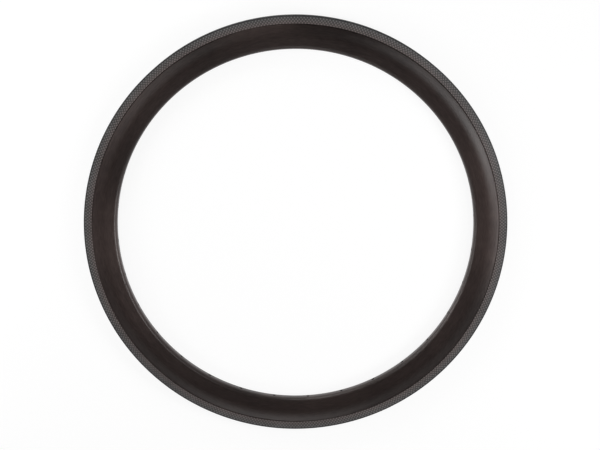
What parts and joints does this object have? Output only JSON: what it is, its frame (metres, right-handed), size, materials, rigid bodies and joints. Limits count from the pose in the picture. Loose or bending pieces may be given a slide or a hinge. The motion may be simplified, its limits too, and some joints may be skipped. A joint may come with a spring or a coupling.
{
  "type": "bicycle rim",
  "caption": "Deep hollow bicycle rim for rim brakes, with hooked tyre flanges, a stepped brake track on each side and a rounded nose drilled for spokes and a valve.",
  "frame": {"origin": "the wheel's centre, on the mid plane of the rim", "axes": "+Z along the wheel's axis, so the rim lies on its side; +Y towards the valve hole"},
  "size_m": [0.6329, 0.633, 0.0268],
  "materials": {
    "carbon": "satin"
  },
  "bodies": {
    "root": {"rim": "carbon"}
  },
  "joints": []
}
